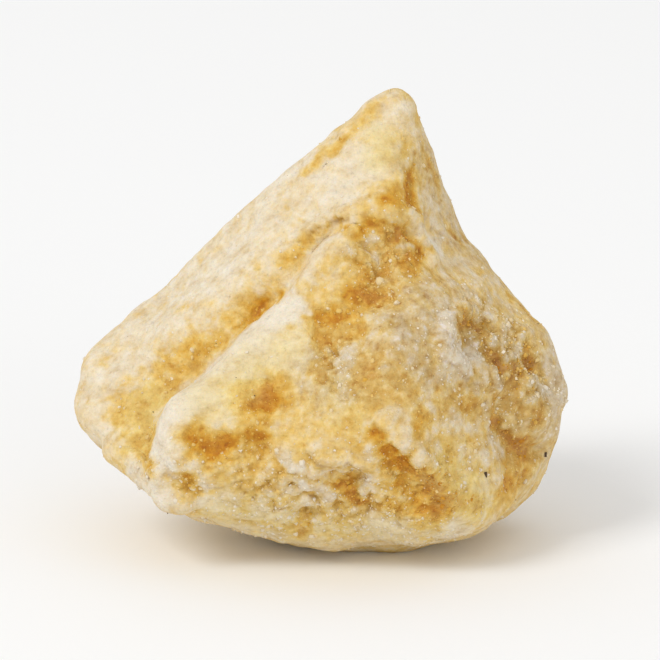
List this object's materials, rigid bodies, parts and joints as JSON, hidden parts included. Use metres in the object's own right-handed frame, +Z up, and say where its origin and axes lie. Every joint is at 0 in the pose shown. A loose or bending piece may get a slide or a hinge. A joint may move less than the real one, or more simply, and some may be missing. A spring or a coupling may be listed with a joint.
{
  "type": "jaggery block",
  "caption": "Broken lump of block jaggery: a peaked, hand-sized piece of unrefined cane sugar with rough faces, resting on a flat underside.",
  "frame": {"origin": "centre of the bounding box, at the level of the flat underside", "axes": "+X to the right of the front view, along the lump's longest extent; -Y to the front, where the ledge and the lobe show; +Z up, towards the peak"},
  "size_m": [0.066, 0.05, 0.0615],
  "materials": {
    "jaggery": "matte, sugar-frosted golden amber with pale cream powder, rough and finely crystalline"
  },
  "bodies": {
    "root": {"jaggery_block": "jaggery"}
  },
  "joints": []
}
